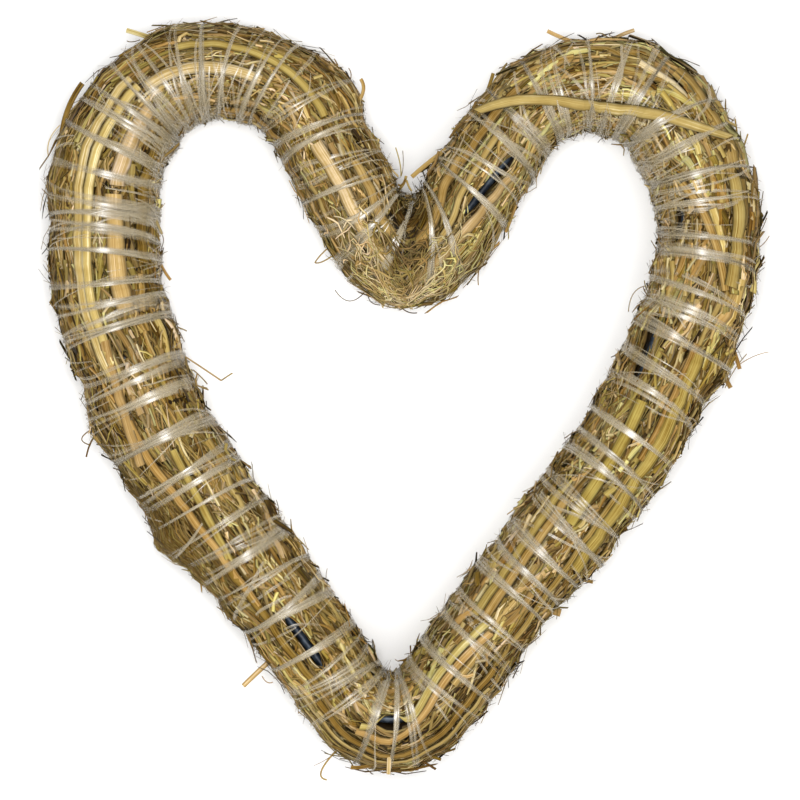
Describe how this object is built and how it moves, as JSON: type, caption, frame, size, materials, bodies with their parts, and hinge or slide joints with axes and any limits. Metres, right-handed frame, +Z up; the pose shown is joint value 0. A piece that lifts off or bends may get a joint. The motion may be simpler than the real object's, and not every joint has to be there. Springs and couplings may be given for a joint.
{
  "type": "straw heart ornament",
  "caption": "Heart-shaped ring of bundled cereal straw on a steel wire loop, bound all the way round with a clear plastic winding, for decorating or hanging.",
  "frame": {"origin": "on the surface that the heart lies on, under the middle of its bounding box", "axes": "+Z up, out of the heart's face; +Y from the heart's point to its notch; +X to the right as the face is seen"},
  "size_m": [0.3026, 0.318, 0.0492],
  "materials": {
    "straw": "dry, matt to silky cereal straw, golden to brown",
    "winding": "thin clear film, stretched into fine strands",
    "wire": "dark, slightly glossy"
  },
  "bodies": {
    "root": {"straw_bundle": "straw", "plastic_winding": "winding", "wire_frame": "wire"}
  },
  "joints": []
}
